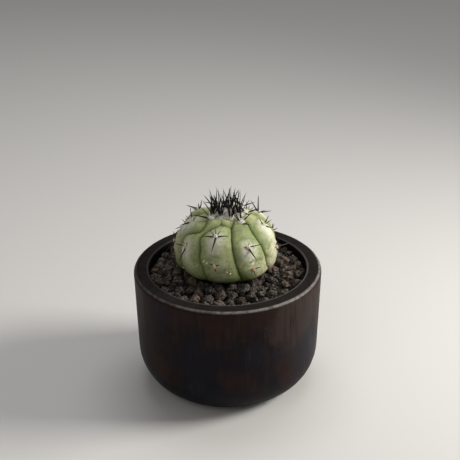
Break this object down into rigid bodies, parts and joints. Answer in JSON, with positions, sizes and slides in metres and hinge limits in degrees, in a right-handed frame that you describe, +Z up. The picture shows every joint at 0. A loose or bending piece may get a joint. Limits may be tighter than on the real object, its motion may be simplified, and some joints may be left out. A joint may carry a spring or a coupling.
{
  "type": "potted copiapoa",
  "caption": "Small globular ribbed cactus with black spines, growing in lava grit in a round dark stoneware pot with a rounded foot.",
  "frame": {"origin": "centre of the pot's foot, on the surface it stands on", "axes": "+Z up; the side seen from the front faces -Y, +X to the right"},
  "size_m": [0.086, 0.086, 0.0963],
  "materials": {
    "burnished_stoneware": "dark brown to blue-black burnished stoneware, half gloss, with worn upright streaks",
    "net_plastic": "moulded plastic mesh",
    "potting_mix": "damp crumbly mineral potting mix",
    "lava_grit": "porous grey-brown lava grit, dry and matt",
    "cactus_skin": "grey-green waxy plant skin with pale bloom, cream areole wool and black spines"
  },
  "bodies": {
    "root": {"pot": "burnished_stoneware", "drain_net": "net_plastic", "soil": "potting_mix", "gravel": "lava_grit", "cactus": "cactus_skin"}
  },
  "joints": []
}
